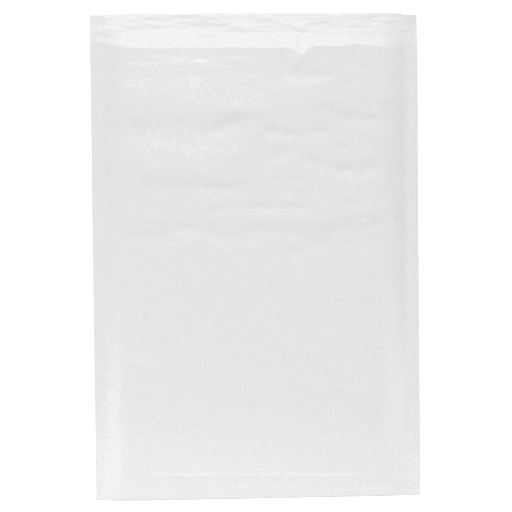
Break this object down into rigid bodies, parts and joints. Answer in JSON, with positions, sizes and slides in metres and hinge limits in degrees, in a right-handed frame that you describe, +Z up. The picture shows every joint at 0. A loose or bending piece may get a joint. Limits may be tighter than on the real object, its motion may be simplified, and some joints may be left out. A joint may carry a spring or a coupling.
{
  "type": "padded envelope",
  "caption": "Empty white paper mailing envelope with a bubble-film lining and side welds, its self-seal flap folded flat behind it.",
  "frame": {"origin": "on the table, under the middle of the envelope's bounding box", "axes": "+X across the envelope to the right of its front, +Y from the bottom fold to the flap's fold, +Z up out of the front panel"},
  "size_m": [0.24, 0.358, 0.0093],
  "materials": {
    "white_paper": "white paper, calendered, with a low sheen and fine grain",
    "bubble_film": "clear polyethylene bubble film, welded white at its edges",
    "hot_melt": "pale amber hot-melt adhesive",
    "silicone_paper": "smooth white silicone-coated paper"
  },
  "bodies": {
    "root": {"paper_jacket": "white_paper", "bubble_lining": "bubble_film", "adhesive_strip": "hot_melt", "release_liner": "silicone_paper"}
  },
  "joints": []
}
